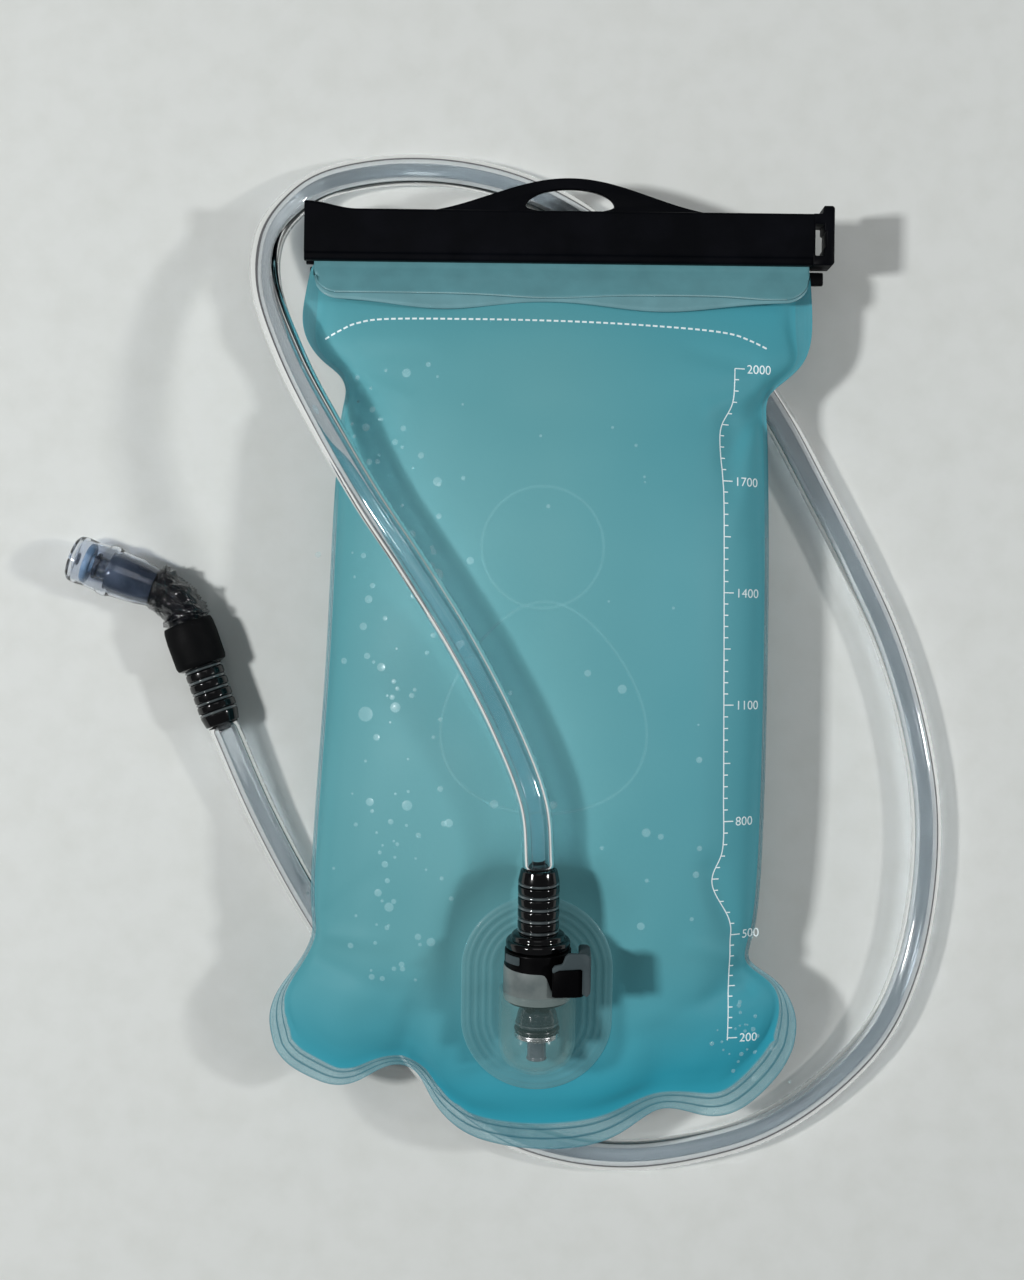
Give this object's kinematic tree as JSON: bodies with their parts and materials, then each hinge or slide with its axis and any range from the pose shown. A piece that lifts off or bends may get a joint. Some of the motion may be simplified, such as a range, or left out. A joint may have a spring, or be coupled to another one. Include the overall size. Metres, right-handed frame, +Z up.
{
  "type": "hydration bladder",
  "caption": "Soft film water reservoir with a slide-top closure, hose coupling in a welded port, clear drinking tube and an angled bite valve.",
  "frame": {"origin": "on the table below the middle of the reservoir's box, the hose and bite valve left out", "axes": "+Z up out of the front film, +Y towards the mouth and its slide, +X to the right of the printed scale's side"},
  "size_m": [0.2888, 0.333, 0.0618],
  "materials": {
    "film_front": "glossy translucent teal TPU film, lightly clouded",
    "film_back": "glossy translucent teal TPU film",
    "film_web": "translucent film",
    "mouth_film": "satin translucent film, grey teal where doubled",
    "slide_black": "satin moulded black plastic",
    "rod_plastic": "moulded black plastic",
    "port_clear": "clear moulded TPU, smooth",
    "housing_frost": "frosted smoke grey plastic",
    "button_grey": "moulded mid grey plastic",
    "coupling_black": "glossy moulded black plastic",
    "seal_black": "smooth black seal",
    "valve_clear": "clear moulded plastic",
    "valve_grey": "satin grey plastic",
    "spring_steel": "drawn stainless wire",
    "tube_clear": "clear glossy TPU tube",
    "sheath_silicone": "clear soft silicone",
    "core_smoke": "dark blue grey plastic",
    "print_white": "white screen print"
  },
  "bodies": {
    "root": {"front_film": "film_front", "back_film": "film_back", "baffle_web": "film_web", "front_mouth_fold": "mouth_film", "back_mouth_fold": "mouth_film", "fold_rod": "rod_plastic", "back_rail": "slide_black", "port_flange": "port_clear", "port_socket": "port_clear", "latch_housing": "housing_frost", "button_spring": "spring_steel", "coupling_body": "coupling_black", "coupling_oring": "seal_black", "valve_cage": "valve_clear", "valve_oring": "seal_black", "valve_seat_ring": "valve_grey", "valve_spring": "spring_steel", "drinking_tube": "tube_clear", "bite_fitting": "coupling_black"},
    "slide": {"slide_closure": "slide_black"},
    "button": {"release_button": "button_grey"},
    "poppet": {"valve_poppet": "valve_grey"},
    "elbow": {"elbow": "coupling_black", "elbow_oring": "seal_black"},
    "mouthpiece": {"shutoff_core": "core_smoke", "bite_sheath": "sheath_silicone", "tip_disc": "core_smoke"}
  },
  "joints": [
    {"name": "slide_off", "type": "slide", "parent": "root", "child": "slide", "axis": [1, 0, 0], "range_m": [0, 0.175]},
    {"name": "button_press", "type": "slide", "parent": "root", "child": "button", "axis": [-1, 0, 0], "range_m": [0, 0.0018], "stiffness_N_per_m": 800, "springref_m": -0.001, "deforming": ["button_spring"]},
    {"name": "poppet_lift", "type": "slide", "parent": "root", "child": "poppet", "axis": [0, -0.9848, -0.1736], "range_m": [0, 0.0015], "stiffness_N_per_m": 300, "springref_m": -0.002, "deforming": ["valve_spring"]},
    {"name": "elbow_swivel", "type": "hinge", "parent": "root", "child": "elbow", "pos_m": [-0.1065, -0.0205, 0.0086], "axis": [-0.3453, 0.9385, 0], "continuous": true},
    {"name": "shutoff_twist", "type": "hinge", "parent": "elbow", "child": "mouthpiece", "pos_m": [-0.12176, 0.02098, 0.0086], "axis": [-0.9409, 0.3387, 0], "range_deg": [0, 90]}
  ]
}
